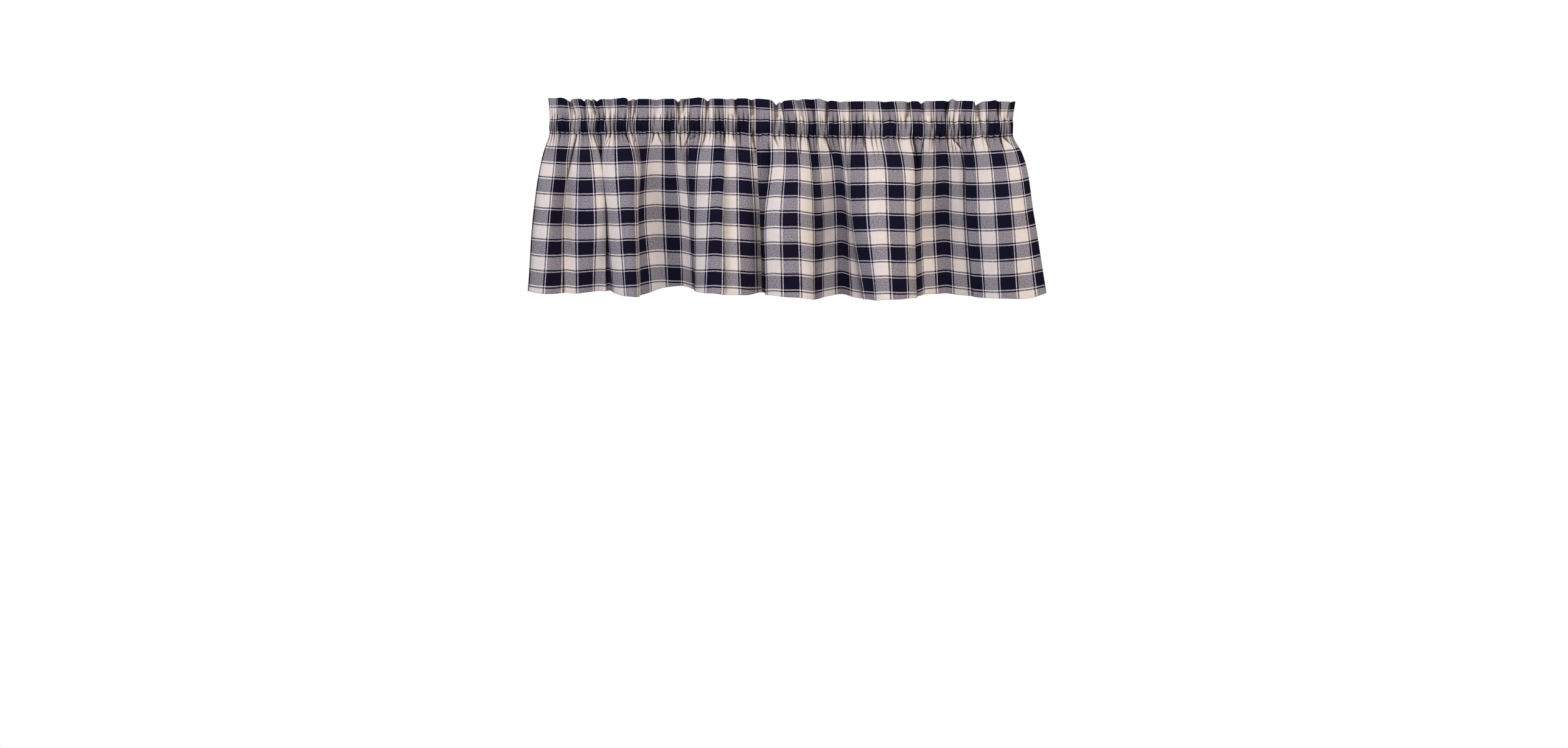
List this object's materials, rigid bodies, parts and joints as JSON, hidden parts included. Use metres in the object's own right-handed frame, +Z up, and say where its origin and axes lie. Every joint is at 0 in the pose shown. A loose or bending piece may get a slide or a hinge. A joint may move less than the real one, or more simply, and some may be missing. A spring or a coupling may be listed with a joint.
{
  "type": "rod pocket window valance",
  "caption": "Gathered check cotton valance with a ruffled header above an open rod pocket, hanging in soft uneven folds to a turned hem.",
  "frame": {"origin": "middle of the top edge of the ruffled header, where the valance is held up", "axes": "+X along the width to the viewer's right, -Y toward the room, +Z up"},
  "size_m": [0.911, 0.1063, 0.3542],
  "materials": {
    "check_cotton": "matt yarn-dyed plain weave in navy and cream check"
  },
  "bodies": {
    "root": {"panel_left": "check_cotton", "panel_right": "check_cotton"}
  },
  "joints": []
}
